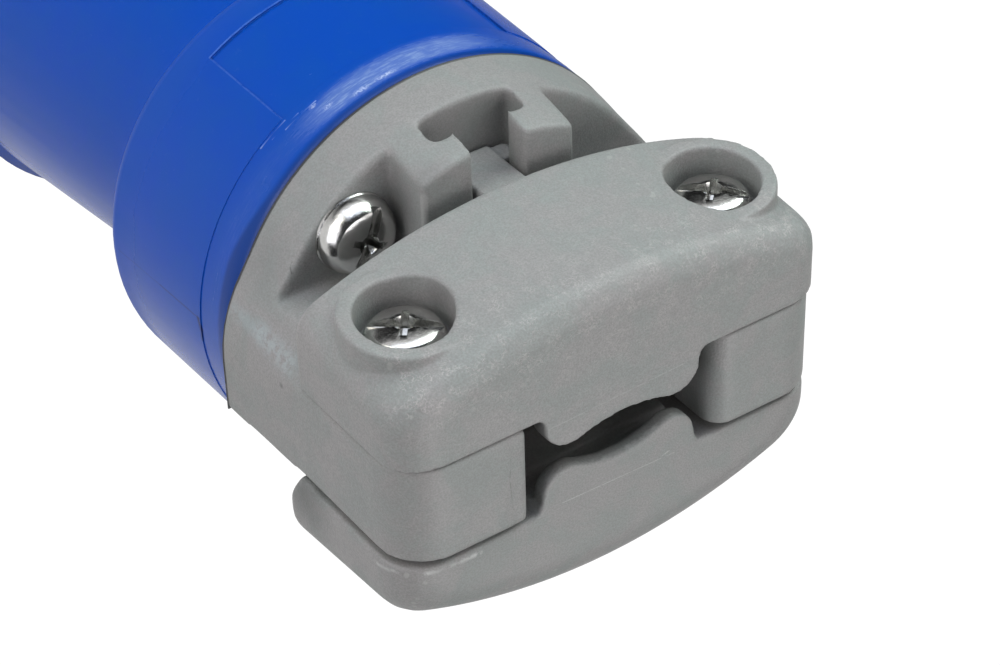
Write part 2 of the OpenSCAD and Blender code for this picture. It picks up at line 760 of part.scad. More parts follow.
sleeve_housing();
back_shell();
clamp_jaw_front();
clamp_jaw_back();
clamp_screw(-1);  // clamp_screw_left
clamp_screw(1);  // clamp_screw_right
clamp_nut(-1);  // clamp_nut_left
clamp_nut(1);  // clamp_nut_right
assembly_screw(0);  // assembly_screw_front
assembly_screw(1);  // assembly_screw_back
housing_gasket();
cord_seal();
pin_carrier();
carrier_screw(-1);  // carrier_screw_left
carrier_screw(1);  // carrier_screw_right
line_pin(0);  // line_pin_left
line_pin(1);  // line_pin_right
earth_pin();
terminal_screw(0);  // terminal_screw_left
terminal_screw(1);  // terminal_screw_right
terminal_screw(2);  // terminal_screw_earth
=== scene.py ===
"""Pin and sleeve plug, dressed for a studio picture.

Moulded blue and grey plastics, plated screws and nuts, rubber seals and brass pins.
Sizes are in millimetres and MM turns them into metres. Camera, lamps and floor are in metres.
"""

import json
import math

import bpy
from mathutils import Matrix, Vector


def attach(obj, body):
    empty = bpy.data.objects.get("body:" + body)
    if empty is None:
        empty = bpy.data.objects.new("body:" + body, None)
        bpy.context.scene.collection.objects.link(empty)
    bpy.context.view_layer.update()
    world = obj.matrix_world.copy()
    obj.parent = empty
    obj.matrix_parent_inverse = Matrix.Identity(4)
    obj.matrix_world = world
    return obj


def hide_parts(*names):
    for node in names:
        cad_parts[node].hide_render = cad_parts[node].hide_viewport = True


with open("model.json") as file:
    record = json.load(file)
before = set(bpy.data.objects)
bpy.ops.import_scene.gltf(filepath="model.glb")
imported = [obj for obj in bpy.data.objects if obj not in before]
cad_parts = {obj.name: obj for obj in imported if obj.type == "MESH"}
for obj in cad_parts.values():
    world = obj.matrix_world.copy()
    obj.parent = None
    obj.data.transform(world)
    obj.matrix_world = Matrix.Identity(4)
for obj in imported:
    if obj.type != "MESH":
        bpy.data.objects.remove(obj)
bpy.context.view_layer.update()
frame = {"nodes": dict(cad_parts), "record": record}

MM = 0.001
BODIES = frame["record"]["behaviour"]["bodies"]
BODY_OF = {node: body for body, nodes in BODIES.items() for node in nodes}

# Where the camera stands and how it is turned, in the part's frame
CAMERA_PLACE = (0.1212, -0.16685, 0.2955)
CAMERA_RIGHT = (-0.8201, 0.0248, 0.5717)
CAMERA_UP = (-0.3654, -0.7915, -0.4899)
CAMERA_BACK = (0.4404, -0.6107, 0.6581)
CAMERA_LENS = 104.59

# Lamps: name, place, width of the square, power in watts, colour
LAMPS = [
    ("front", (0.0, -0.75, 0.12), 0.6, 2.8, (0.82, 0.88, 1.0)),
    ("front_left", (-0.5, -0.6, 0.15), 0.5, 4.5, (0.88, 1.0, 0.94)),
    ("front_right", (0.55, -0.55, 0.08), 0.5, 2.2, (1.0, 0.98, 0.9)),
    ("right", (0.72, -0.2, 0.15), 0.6, 2.6, (0.95, 0.95, 1.0)),
    ("top", (0.0, 0.0, 0.85), 0.6, 2.6, (1.0, 0.98, 0.98)),
    ("top_left", (-0.5, -0.2, 0.6), 0.5, 1.0, (1.0, 0.97, 0.97)),
    ("back", (-0.1, 0.5, 0.65), 0.5, 2.1, (0.95, 1.0, 0.99)),
]
LAMPS_AIM = (0, 0, 0.11)

# Heights along the plug axis and distances from it, as in the CAD
JOINT = 104.0  # face where the shell stands on the housing
BAND_IN_CAD = 99.6  # step at the foot of the band that ends the collar
BAND = 98.3  # the same step in the photograph
FIELD_FOOT = 85.6  # lower edge of the sunk label field
FIELD_TURN = 33.0  # half the width of the field, in degrees about the axis
SHOULDER = ((78.0, 81.0), (87.0, 83.0))  # where the duller shoulder begins and ends
HAZE = ((BAND + 0.6, BAND + 2.6), (103.1, 102.1))  # where the haze of the band begins and ends
RIM_SHADE = (102.6, 103.3)  # where the rim of the collar grows darker
RIM_JOINT_SHADOW = (103.5, 103.8)  # where it meets the painted shadow of the joint
SHELL_SPARE = 1.5  # spare length at the joint that the shell loses after remeshing
CLAMP_HEIGHT = 124.8  # level of the clamp screws
CLAMP_SCREW_X = 16.9
CLAMP_SEAT = 11.3  # seat of their heads, towards -Y
CLAMP_REACH = 13.6  # how far they reach past the axis, towards +Y
NUT_SEAT = 9.5
NUT_ACROSS, NUT_HEIGHT = 8.7, 3.2
ASSEMBLY_X, ASSEMBLY_Y = 12.62, 13.39
ASSEMBLY_SEAT = 109.7
ASSEMBLY_LENGTH = 21.9
SHANK_R = 2.0
HEAD_R, HEAD_HEIGHT = 4.05, 2.9
BEYOND = 30  # past the sides of every piece

# Turn of each screw's slot, in degrees
SLOT_ANGLES = {"right": -37, "left": -47, "front": 65, "back": 20}

# Colours, as linear light
GREY = (0.292, 0.284, 0.282)
GREEN_GREY = (0.263, 0.28, 0.272)
PALE_GREY = (0.42, 0.42, 0.41, 1)
SCUFF_GREY = (0.5, 0.46, 0.455, 1)
FLECK_GREY = (0.42, 0.4, 0.39, 1)
CREASE_SHADE = (0.09, 0.09, 0.09, 1)
INNER_SHADE = (0.05, 0.05, 0.05, 1)
JOINT_SHADOW = (0.008, 0.011, 0.02, 1)
BLUE = (0.0, 0.058, 0.405, 1)
BLUE_PATCH = (0.0, 0.062, 0.39, 1)
BLUE_RUBBED = (0.27, 0.38, 0.62, 1)
BLUE_FLECK = (0.3, 0.4, 0.7, 1)
BLUE_NICK = (0.5, 0.58, 0.82, 1)
BLUE_RIM = (0.0, 0.03, 0.18, 1)
BLUE_JOINT_SHADOW = (0.0, 0.006, 0.03, 1)
FIELD_LIT_SIDE = (0.06, 0.15, 0.52, 1)
FIELD_LIT_FOOT = (0.07, 0.17, 0.55, 1)
FIELD_DARK = (0.0, 0.03, 0.2, 1)


# Worn marks, painted shade and painted highlights, placed on the mouldings


def grey(level):
    return (level, level, level)


def along(points, width, color, strength):
    """Fine lines from each point to the next: start, end, width, colour, strength."""
    return [(here, after, width, color, strength) for here, after in zip(points, points[1:])]


# Spots: colour, place, reach along X, Y and Z, strength
SHELL_MARKS_AND_SHADE = [
    (grey(0.12), (23.7, -3.5, 114.1), (0.7, 0.5, 0.45), 0.8),  # pit on the side
    (grey(0.05), (8.4, -15.9, 111.0), (1.0, 5.0, 4.5), 0.5),  # painted shade on the side of the slotted block
    (grey(0.1), (-0.9, -19.8, 109.2), (7.0, 6.0, 1.2), 0.3),  # painted shade on the floor of the slot
    (grey(0.1), (7.2, -20.0, 114.7), (3.0, 2.5, 2.2), 0.3),  # painted shade on top of the slotted block
    (grey(0.12), (20.0, -11.3, 106.2), (3.0, 7.0, 5.0), 0.2),  # painted shade on the side of the dome
]
FRONT_JAW_MARKS_AND_SHADE = [
    (grey(0.1), (-1.6, -12.2, 133.0), (0.35, 0.35, 0.6), 0.9),  # dark speck
    (grey(0.62), (7.9, -13.6, 133.5), (0.9, 0.4, 0.6), 0.9),  # bright nick
    (grey(0.05), (12.5, -14.0, 123.8), (1.0, 3.5, 5.0), 0.3),  # painted shade on the wall of the screw pocket
]
BACK_JAW_SHADE = [(grey(0.05), (23.7, 7.7, 116.5), (3.0, 6.0, 6.0), 0.5)]  # painted shade at the far end of the side
# Bright nicks on the band: place, reach along X, Y and Z
BAND_NICKS = [
    ((6.3, -22.2, 102.2), (1.5, 0.9, 0.5)),
    ((3.7, -22.8, 102.2), (1.9, 0.9, 0.4)),
    ((9.4, -21.2, 101.2), (0.8, 0.8, 0.4)),
    ((10.2, -20.8, 99.9), (0.6, 0.6, 0.4)),
]

RUB_MARK = [
    ((23.0, -6.2, 105.0), (22.9, -6.2, 109.7), 1.4, (0.31, 0.36, 0.38), 0.5),
    ((22.9, -6.2, 109.7), (22.9, -5.8, 114.2), 1.9, (0.36, 0.41, 0.43), 0.55),
]
CURL = [(18.8, -12.2, 109.1), (19.1, -11.8, 109.2), (19.2, -11.3, 109.6)]
FLASH_LINE = [
    (11.3, -5.0, 134.0),
    (12.35, -3.05, 134.0),
    (12.55, -0.3, 134.0),
    (12.3, 3.1, 134.0),
    (11.8, 4.8, 134.0),
]
SHELL_LINES = RUB_MARK + along(CURL, 0.12, grey(0.1), 0.9) + along(FLASH_LINE, 0.1, grey(0.1), 0.7)

FRONT_JAW_LINES = [((9.8, -3.9, 134.0), (-7.0, -4.3, 134.0), 0.1, grey(0.4), 0.5)]
JAW_RUB = ((-19.0, -13.2, 131.2), (20.0, -13.2, 131.2), 6.5)

# Painted highlight along the lit crest of the rib on the back jaw
RIB_CREST_HIGHLIGHT = [
    (7.8, 2.87, 132.9),
    (6.12, 2.09, 132.9),
    (3.69, 2.79, 132.9),
    (1.62, 3.32, 132.9),
    (-1.1, 3.39, 132.9),
    (-4.17, 2.6, 132.9),
    (-6.16, 2.09, 132.9),
    (-7.72, 2.78, 132.9),
]
BACK_JAW_LINES = [
    ((6.5, 5.9, 133.4), (-6.2, 6.3, 133.4), 0.08, grey(0.42), 0.8),  # long scratch
    ((-4.9, 6.0, 133.4), (-5.6, 5.8, 133.4), 0.12, grey(0.5), 0.6),  # short scratch
    ((21.2, 6.9, 133.0), (15.6, 7.1, 133.4), 0.4, grey(0.6), 0.6),  # painted highlight on the lip under the post
    ((23.7, 7.3, 128.6), (23.2, 6.9, 131.3), 0.35, grey(0.6), 0.5),  # painted highlight on the lip at the side
]
BACK_JAW_LINES += along(RIB_CREST_HIGHLIGHT, 0.35, grey(0.4), 0.75)

MOULD_LINE = (0.0, 0.02, 0.14)
NOTCH = (0.0, 0.012, 0.09)
PALE_SCRATCH = (0.3, 0.42, 0.75)
COLLAR_LINES = [
    ((23.66, -0.6, 83.2), (23.44, -0.9, 91.0), 0.12, MOULD_LINE, 0.4),
    ((23.44, -0.9, 91.0), (23.22, -1.1, 98.2), 0.14, MOULD_LINE, 0.8),
    ((23.2, -1.0, 97.9), (23.15, 0.1, 98.3), 0.4, NOTCH, 0.95),
    ((23.15, 0.1, 98.3), (23.1, 1.4, 98.2), 0.3, NOTCH, 0.95),
    ((15.2, -17.4, 98.5), (12.5, -19.4, 98.6), 0.14, PALE_SCRATCH, 0.9),
    ((14.2, -18.2, 99.0), (11.4, -20.1, 99.2), 0.1, (0.25, 0.38, 0.72), 0.8),
    ((13.0, -19.1, 99.5), (9.7, -21.0, 99.6), 0.12, PALE_SCRATCH, 0.8),
]


# Small helpers


def only(thing):
    """Selects one object alone and makes it active."""
    bpy.ops.object.select_all(action="DESELECT")
    thing.select_set(True)
    bpy.context.view_layer.objects.active = thing


def edit_all():
    """Opens the active object in edit mode with all of its mesh selected."""
    bpy.ops.object.mode_set(mode="EDIT")
    bpy.ops.mesh.select_all(action="SELECT")


def leave_edit():
    bpy.ops.object.mode_set(mode="OBJECT")


def apply_modifiers(piece):
    only(piece)
    for modifier in list(piece.modifiers):
        bpy.ops.object.modifier_apply(modifier=modifier.name)


def settle(piece):
    """Puts an object's place and turn into its mesh."""
    only(piece)
    bpy.ops.object.transform_apply(location=True, rotation=True, scale=True)


def arc(center, radius, start, end, steps):
    """Points on a circle about a centre, from one angle to another, in degrees."""
    turn = (end - start) / steps
    angles = [math.radians(start + turn * i) for i in range(steps + 1)]
    return [(center[0] + radius * math.cos(a), center[1] + radius * math.sin(a)) for a in angles]


def turned(name, outline, steps):
    """A turned piece about Z: a point is extruded along the outline (radius, height) and spun."""
    bpy.ops.object.select_all(action="DESELECT")
    bpy.ops.mesh.primitive_plane_add(size=MM)
    piece = bpy.context.object
    piece.name = name
    edit_all()
    bpy.ops.mesh.merge(type="CENTER")
    bpy.ops.transform.translate(value=(outline[0][0] * MM, 0, outline[0][1] * MM))
    for here, after in zip(outline, outline[1:]):
        step = ((after[0] - here[0]) * MM, 0, (after[1] - here[1]) * MM)
        bpy.ops.mesh.extrude_region_move(TRANSFORM_OT_translate={"value": step})
    bpy.ops.mesh.select_all(action="SELECT")
    bpy.ops.mesh.remove_doubles(threshold=1e-7)
    bpy.ops.mesh.spin(steps=steps, angle=math.tau, center=(0, 0, 0), axis=(0, 0, 1))
    bpy.ops.mesh.select_all(action="SELECT")
    bpy.ops.mesh.remove_doubles(threshold=2e-6)
    bpy.ops.mesh.normals_make_consistent(inside=False)
    leave_edit()
    return piece


def block(name, low, high):
    """A block between two corners."""
    bpy.ops.object.select_all(action="DESELECT")
    bpy.ops.mesh.primitive_cube_add(size=1)
    piece = bpy.context.object
    piece.name = name
    piece.scale = [(b - a) * MM for a, b in zip(low, high)]
    piece.location = [(a + b) / 2 * MM for a, b in zip(low, high)]
    settle(piece)
    return piece


def cut(piece, tool, how="DIFFERENCE"):
    """Cuts a piece with a tool, or joins the two, and takes the tool away."""
    only(piece)
    modifier = piece.modifiers.new("cut", "BOOLEAN")
    modifier.operation = how
    modifier.solver = "EXACT"
    modifier.object = tool
    bpy.ops.object.modifier_apply(modifier=modifier.name)
    bpy.data.objects.remove(tool, do_unlink=True)


def merged_copy(node, name):
    """A copy of a CAD node's mesh with its loose triangles merged."""
    bpy.ops.object.select_all(action="DESELECT")
    piece = bpy.data.objects.new(name, frame["nodes"][node].data.copy())
    bpy.context.scene.collection.objects.link(piece)
    piece.data.materials.clear()
    only(piece)
    edit_all()
    bpy.ops.mesh.remove_doubles(threshold=1e-6)
    leave_edit()
    return piece


def at_level(vertex, level):
    """Whether a vertex of the CAD mesh lies at a height."""
    return abs(vertex.co.z / MM - level) < 0.02


def moulded(piece, voxel, rounding):
    """Remeshes a plastic form finely, with every edge worn soft."""
    remesh = piece.modifiers.new("voxels", "REMESH")
    remesh.mode = "VOXEL"
    remesh.voxel_size = voxel * MM
    soft = piece.modifiers.new("rounding", "SMOOTH")
    soft.factor = 0.5
    soft.iterations = rounding
    apply_modifiers(piece)


def bevel(piece, width, angle):
    """Rounds the edges sharper than an angle, in degrees."""
    modifier = piece.modifiers.new("edges", "BEVEL")
    modifier.width = width * MM
    modifier.segments = 2
    modifier.limit_method = "ANGLE"
    modifier.angle_limit = math.radians(angle)
    apply_modifiers(piece)


def smooth(piece, angle):
    """Shades a piece smoothly, but for the edges sharper than an angle, in degrees."""
    only(piece)
    bpy.ops.object.shade_smooth_by_angle(angle=math.radians(angle))


def stands_for(piece, node, material):
    """Gives a finished piece its material, its body and the CAD node that it stands for."""
    piece.data.materials.clear()
    piece.data.materials.append(material)
    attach(piece, BODY_OF[node])
    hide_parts(node)


# Nodes and node groups


class Nodes:
    """Adds and links nodes in one node tree."""

    def __init__(self, tree):
        self.tree = tree

    def set(self, socket, value):
        """Links an output to a socket, or writes a plain value into it."""
        if isinstance(value, bpy.types.NodeSocket):
            self.tree.links.new(value, socket)
        else:
            socket.default_value = value

    def add(self, kind, inputs=None, **settings):
        """A new node with its settings and the values or links of its inputs."""
        node = self.tree.nodes.new(kind)
        for key, value in settings.items():
            setattr(node, key, value)
        for key, value in (inputs or {}).items():
            self.set(node.inputs[key], value)
        return node

    def use(self, tree, inputs):
        """Places a node group with its own values and gives its outputs."""
        return self.add("ShaderNodeGroup", inputs, node_tree=tree).outputs

    def math(self, operation, a, b=0.0):
        return self.add("ShaderNodeMath", {0: a, 1: b}, operation=operation).outputs[0]

    def plus(self, a, b):
        return self.math("ADD", a, b)

    def minus(self, a, b):
        return self.math("SUBTRACT", a, b)

    def times(self, a, b):
        return self.math("MULTIPLY", a, b)

    def vector(self, operation, a, b):
        """A vector sum, difference or quotient."""
        return self.add("ShaderNodeVectorMath", {0: a, 1: b}, operation=operation).outputs[0]

    def measure(self, operation, a, b=(0, 0, 0)):
        """A number from vectors: a length, a distance or a dot product."""
        node = self.add("ShaderNodeVectorMath", {0: a, 1: b}, operation=operation)
        return node.outputs["Value"]

    def split(self, place):
        """X, Y and Z of a place."""
        return self.add("ShaderNodeSeparateXYZ", {0: place}).outputs

    def ramp(self, value, low, high):
        """Runs from 0 to 1 as a value goes from low to high, softly at both ends."""
        inputs = {"Value": value, "From Min": low, "From Max": high}
        node = self.add("ShaderNodeMapRange", inputs, interpolation_type="SMOOTHSTEP")
        return node.outputs["Result"]

    def mix(self, share, a, b):
        node = self.add("ShaderNodeMix", {0: share, 6: a, 7: b}, data_type="RGBA")
        return node.outputs[2]

    def noise(self, place, size, detail=2.0, rough=0.5, distort=0.0):
        """Noise whose features are about a size in millimetres. Its middle value is 0.5."""
        inputs = {
            "Vector": place,
            "Scale": 1000 / size,
            "Detail": detail,
            "Roughness": rough,
            "Distortion": distort,
        }
        return self.add("ShaderNodeTexNoise", inputs).outputs[0]

    def bump(self, height, strength, distance):
        inputs = {"Height": height, "Strength": strength, "Distance": distance * MM}
        return self.add("ShaderNodeBump", inputs).outputs[0]

    def near(self, place, spot, reach):
        """1 at a spot, falling to 0 at its reach along X, Y and Z."""
        spot = [v * MM for v in spot]
        reach = [v * MM for v in reach]
        return self.use(SPOT_MARK, {"Place": place, "Spot": spot, "Reach": reach})["Mask"]

    def line(self, place, start, end, width):
        """1 on a straight line from start to end, falling to 0 at its width."""
        inputs = {
            "Place": place,
            "Start": [v * MM for v in start],
            "Along": [(b - a) * MM for a, b in zip(start, end)],
            "Width": width * MM,
        }
        return self.use(LINE_MARK, inputs)["Mask"]


def group(name, inputs, outputs):
    """A new node group: gives its nodes, its inputs and its end. Only Width is a plain number."""
    tree = bpy.data.node_groups.new(name, "ShaderNodeTree")
    for label in inputs:
        kind = "NodeSocketFloat" if label == "Width" else "NodeSocketVector"
        tree.interface.new_socket(label, in_out="INPUT", socket_type=kind)
    for label in outputs:
        tree.interface.new_socket(label, in_out="OUTPUT", socket_type="NodeSocketFloat")
    nodes = Nodes(tree)
    start = nodes.add("NodeGroupInput")
    end = nodes.add("NodeGroupOutput")
    return nodes, start.outputs, end


def spot_group():
    """A soft spot."""
    nodes, given, end = group("spot_mark", ["Place", "Spot", "Reach"], ["Mask"])
    offset = nodes.vector("SUBTRACT", given["Place"], given["Spot"])
    scaled = nodes.vector("DIVIDE", offset, given["Reach"])
    nodes.set(end.inputs["Mask"], nodes.ramp(nodes.measure("LENGTH", scaled), 1.0, 0.0))
    return end.id_data


def line_group():
    """A soft straight line."""
    nodes, given, end = group("line_mark", ["Place", "Start", "Along", "Width"], ["Mask"])
    offset = nodes.vector("SUBTRACT", given["Place"], given["Start"])
    along_it = nodes.measure("DOT_PRODUCT", offset, given["Along"])
    whole = nodes.measure("DOT_PRODUCT", given["Along"], given["Along"])
    share = nodes.math("MAXIMUM", nodes.math("DIVIDE", along_it, whole), 0.0)
    share = nodes.math("MINIMUM", share, 1.0)
    inputs = {0: given["Along"], "Scale": share}
    on_line = nodes.add("ShaderNodeVectorMath", inputs, operation="SCALE").outputs[0]
    away = nodes.measure("DISTANCE", offset, on_line)
    nodes.set(end.inputs["Mask"], nodes.ramp(away, given["Width"], 0.0))
    return end.id_data


def wear_sheen_and_shade_group():
    """Edges of a finely meshed piece, where it is rubbed and a highlight is painted, and creases,
    where shade is painted.
    """
    nodes, _, end = group("edge_wear_sheen_and_crease_shade", [], ["Edges", "Crease Shade"])
    point = nodes.add("ShaderNodeNewGeometry").outputs["Pointiness"]
    nodes.set(end.inputs["Edges"], nodes.ramp(point, 0.55, 0.64))
    nodes.set(end.inputs["Crease Shade"], nodes.ramp(point, 0.46, 0.38))
    return end.id_data


def grain_group():
    """Fine sand of a spark-eroded mould, with slow unevenness."""
    nodes, given, end = group("mould_grain", ["Place"], ["Height", "Speckle", "Patches"])
    place = given["Place"]
    fine = nodes.noise(place, 0.19, 2.0, 0.6)
    coarse = nodes.noise(place, 0.7)
    wave = nodes.noise(place, 7.0, 1.0)
    height = nodes.plus(nodes.times(fine, 0.6), nodes.times(coarse, 0.4))
    nodes.set(end.inputs["Height"], nodes.plus(height, nodes.times(wave, 0.8)))
    nodes.set(end.inputs["Speckle"], fine)
    nodes.set(end.inputs["Patches"], nodes.noise(place, 5.0, 4.0, 0.65, 0.6))
    return end.id_data


def scuff_group():
    """Short wavy scuffs and scattered pale flecks."""
    nodes, given, end = group("scuffs", ["Place"], ["Scuffs", "Flecks"])
    place = given["Place"]
    wavy = nodes.noise(place, 0.55, 3.0, 0.6, 1.0)
    thin = nodes.math("ABSOLUTE", nodes.minus(wavy, 0.5))
    lines = nodes.minus(1.0, nodes.ramp(thin, 0.0, 0.05))
    where = nodes.ramp(nodes.noise(place, 1.4, 3.0, 0.6), 0.42, 0.62)
    nodes.set(end.inputs["Scuffs"], nodes.times(lines, where))
    nodes.set(end.inputs["Flecks"], nodes.ramp(nodes.noise(place, 0.6, 3.0, 0.7), 0.62, 0.74))
    return end.id_data


# Materials


def start_material(name, roughness, metallic=0.0):
    """A material with one shader: gives its nodes, the shader and the place on the part."""
    material = bpy.data.materials.new(name)
    material.use_nodes = True
    nodes = Nodes(material.node_tree)
    shader = material.node_tree.nodes["Principled BSDF"].inputs
    shader["Roughness"].default_value = roughness
    shader["Metallic"].default_value = metallic
    place = nodes.add("ShaderNodeTexCoord").outputs["Object"]
    return material, nodes, shader, place


def with_lines(nodes, place, color, lines, broken=None):
    """Draws fine lines over a colour, broken up by a mask where one is given."""
    for start, end, width, mark, strength in lines:
        share = nodes.times(nodes.line(place, start, end, width), strength)
        if broken is not None:
            share = nodes.times(share, broken)
        color = nodes.mix(share, color, (*mark, 1))
    return color


def with_spots(nodes, place, color, spots):
    """Draws soft spots over a colour."""
    for mark, spot, reach, strength in spots:
        share = nodes.times(nodes.near(place, spot, reach), strength)
        color = nodes.mix(share, color, (*mark, 1))
    return color


def sandy_grey(nodes, grain, tone):
    """Grey with greenish patches and dark sand."""
    base = [v * tone for v in GREY] + [1]
    green = [v * tone for v in GREEN_GREY] + [1]
    dark = [v * tone * 0.7 for v in GREY] + [1]
    color = nodes.mix(nodes.ramp(grain["Patches"], 0.4, 0.62), base, green)
    sand = nodes.ramp(grain["Speckle"], 0.7, 0.3)
    return nodes.mix(nodes.times(sand, 0.62), color, dark)


def shadowed_joint(nodes, place, color):
    """Paints a contact shadow: darkens the rim at the joint, but not at the far side."""
    split = nodes.split(place)
    foot = nodes.ramp(split[2], (JOINT + 0.28) * MM, (JOINT + 0.08) * MM)
    foot = nodes.times(foot, nodes.ramp(split[1], 8 * MM, 5 * MM))
    return nodes.mix(nodes.times(foot, 0.92), color, JOINT_SHADOW)


def grey_plastic(name, tone, marks_and_shade, lines, scuffed=0.12, rub=None, joint=False):
    """Moulded grey plastic, sandy, greenish in patches, scuffed and worn at its edges, with a
    painted highlight on its edges and painted shade in its creases and in the middle of the clamp.

    rub is a line, from start to end and as wide as given, that is scuffed more than the rest.
    joint says that a painted contact shadow darkens the rim at the joint.
    """
    material, nodes, shader, place = start_material(name, 0.5)
    grain = nodes.use(GRAIN, {"Place": place})
    scuffs = nodes.use(SCUFFS, {"Place": place})
    wear_sheen_and_shade = nodes.use(EDGE_WEAR_SHEEN_AND_SHADE, {})
    color = sandy_grey(nodes, grain, tone)
    color = nodes.mix(nodes.times(scuffs["Flecks"], 0.14), color, FLECK_GREY)
    if rub:
        scuffed = nodes.plus(nodes.times(nodes.line(place, *rub), 0.45), scuffed)
    color = nodes.mix(nodes.times(scuffs["Scuffs"], scuffed), color, SCUFF_GREY)
    # Lighter edges, rubbed and a painted highlight, and painted shade in the creases
    color = nodes.mix(nodes.times(wear_sheen_and_shade["Edges"], 0.35), color, PALE_GREY)
    color = nodes.mix(nodes.times(wear_sheen_and_shade["Crease Shade"], 0.5), color, CREASE_SHADE)
    inside = nodes.ramp(nodes.near(place, (0, 0.5, 119.5), (12.5, 7.0, 13.0)), 0.02, 0.3)
    color = nodes.mix(nodes.times(inside, 0.75), color, INNER_SHADE)
    broken = nodes.ramp(nodes.noise(place, 0.9, 3.0, 0.7), 0.36, 0.56)
    color = with_lines(nodes, place, color, lines, broken)
    color = with_spots(nodes, place, color, marks_and_shade)
    if joint:
        color = shadowed_joint(nodes, place, color)
    nodes.set(shader["Base Color"], color)
    nodes.set(shader["Roughness"], nodes.plus(nodes.times(grain["Patches"], 0.3), 0.36))
    nodes.set(shader["Normal"], nodes.bump(grain["Height"], 0.6, 0.12))
    return material


def band_rub(nodes, place, split, height):
    """Mask of the rubbed band, strongest at the front, with streaks that run round it."""
    lower, upper = [nodes.ramp(height, *levels) for levels in HAZE]
    around = nodes.times(nodes.math("ARCTAN2", split[1], split[0]), 0.003)
    ring = nodes.add("ShaderNodeCombineXYZ", {0: around, 2: split[2]}).outputs[0]
    streaks = nodes.ramp(nodes.noise(ring, 0.22, 3.0, 0.7), 0.42, 0.72)
    front = nodes.near(place, (2.0, -23.0, 101.5), (15.0, 12.0, 6.0))
    front = nodes.ramp(front, 0.0, 0.6)
    rubbed = nodes.times(nodes.times(lower, upper), nodes.plus(nodes.times(streaks, 0.45), 0.3))
    return nodes.times(rubbed, nodes.plus(nodes.times(front, 0.92), 0.08))


def field_edges(nodes, place, split, height, color):
    """Lit and shaded edge lines of the sunk label field."""
    turn = nodes.plus(nodes.math("ARCTAN2", split[1], split[0]), math.pi / 2)
    broken = nodes.ramp(nodes.noise(place, 0.8, 3.0, 0.7), 0.34, 0.52)
    above = nodes.ramp(height, FIELD_FOOT - 0.3, FIELD_FOOT)
    beside = nodes.times(above, nodes.ramp(height, BAND, BAND - 0.1))
    for edge, mark in ((FIELD_TURN, FIELD_LIT_SIDE), (-FIELD_TURN, FIELD_DARK)):
        gap = nodes.math("ABSOLUTE", nodes.minus(turn, math.radians(edge)))
        share = nodes.times(nodes.times(nodes.ramp(gap, 0.006, 0.001), beside), broken)
        color = nodes.mix(nodes.times(share, 0.6), color, mark)
    outer, inner = math.radians(FIELD_TURN + 0.3), math.radians(FIELD_TURN - 0.3)
    within = nodes.ramp(nodes.math("ABSOLUTE", turn), outer, inner)
    for level, mark in ((FIELD_FOOT - 0.12, FIELD_LIT_FOOT), (FIELD_FOOT + 0.12, FIELD_DARK)):
        gap = nodes.math("ABSOLUTE", nodes.minus(height, level))
        share = nodes.times(nodes.ramp(gap, 0.16, 0.03), nodes.times(within, broken))
        color = nodes.mix(nodes.times(share, 0.65), color, mark)
    return color


def dark_rim(nodes, split, height, color):
    """Painted shade on the rim of the collar, darker towards the joint and over a wider strip at
    the far side, and a painted shadow where it meets the joint.
    """
    far_side = nodes.times(nodes.ramp(split[1], -0.017, -0.008), 1.4)
    rim = nodes.ramp(nodes.plus(height, far_side), *RIM_SHADE)
    color = nodes.mix(nodes.times(rim, 0.75), color, BLUE_RIM)
    return nodes.mix(nodes.ramp(height, *RIM_JOINT_SHADOW), color, BLUE_JOINT_SHADOW)


def band_nicks(nodes, place, grain, color):
    """Bright nicks on the band, broken up by the grain."""
    for spot, reach in BAND_NICKS:
        sand = nodes.ramp(grain["Speckle"], 0.42, 0.6)
        share = nodes.times(nodes.near(place, spot, reach), sand)
        color = nodes.mix(nodes.times(share, 0.8), color, BLUE_NICK)
    return color


def blue_plastic():
    """Glossy moulded blue plastic with a rubbed band at its end."""
    material, nodes, shader, place = start_material("blue_plastic", 0.3)
    shader["Specular IOR Level"].default_value = 0.24
    grain = nodes.use(GRAIN, {"Place": place})
    scuffs = nodes.use(SCUFFS, {"Place": place})
    split = nodes.split(place)
    height = nodes.times(split[2], 1000.0)
    color = nodes.mix(nodes.ramp(grain["Patches"], 0.35, 0.65), BLUE, BLUE_PATCH)
    rubbed = band_rub(nodes, place, split, height)
    color = nodes.mix(rubbed, color, BLUE_RUBBED)
    color = nodes.mix(nodes.times(scuffs["Flecks"], 0.02), color, BLUE_FLECK)
    color = with_lines(nodes, place, color, COLLAR_LINES)
    color = field_edges(nodes, place, split, height, color)
    color = dark_rim(nodes, split, height, color)
    color = band_nicks(nodes, place, grain, color)
    nodes.set(shader["Base Color"], color)
    shoulder = nodes.times(*[nodes.ramp(height, *levels) for levels in SHOULDER])
    dull = nodes.plus(nodes.times(grain["Patches"], 0.1), 0.2)
    dull = nodes.plus(dull, nodes.times(shoulder, 0.15))
    nodes.set(shader["Roughness"], nodes.plus(dull, nodes.times(rubbed, 0.25)))
    nodes.set(shader["Normal"], nodes.bump(grain["Height"], 0.1, 0.05))
    return material


def plated_steel():
    """Bright plated steel, a little uneven and finely scratched."""
    material, nodes, shader, place = start_material("plated_steel", 0.2, 1.0)
    cloudy = nodes.noise(place, 1.6, 3.0, 0.6)
    color = nodes.mix(cloudy, (0.5, 0.5, 0.49, 1), (0.78, 0.77, 0.75, 1))
    nodes.set(shader["Base Color"], color)
    rough = nodes.times(nodes.noise(place, 0.5, 3.0, 0.6), 0.22)
    nodes.set(shader["Roughness"], nodes.plus(rough, 0.1))
    uneven = nodes.plus(nodes.noise(place, 0.9), nodes.times(nodes.noise(place, 0.15), 0.2))
    nodes.set(shader["Normal"], nodes.bump(uneven, 0.35, 0.08))
    return material


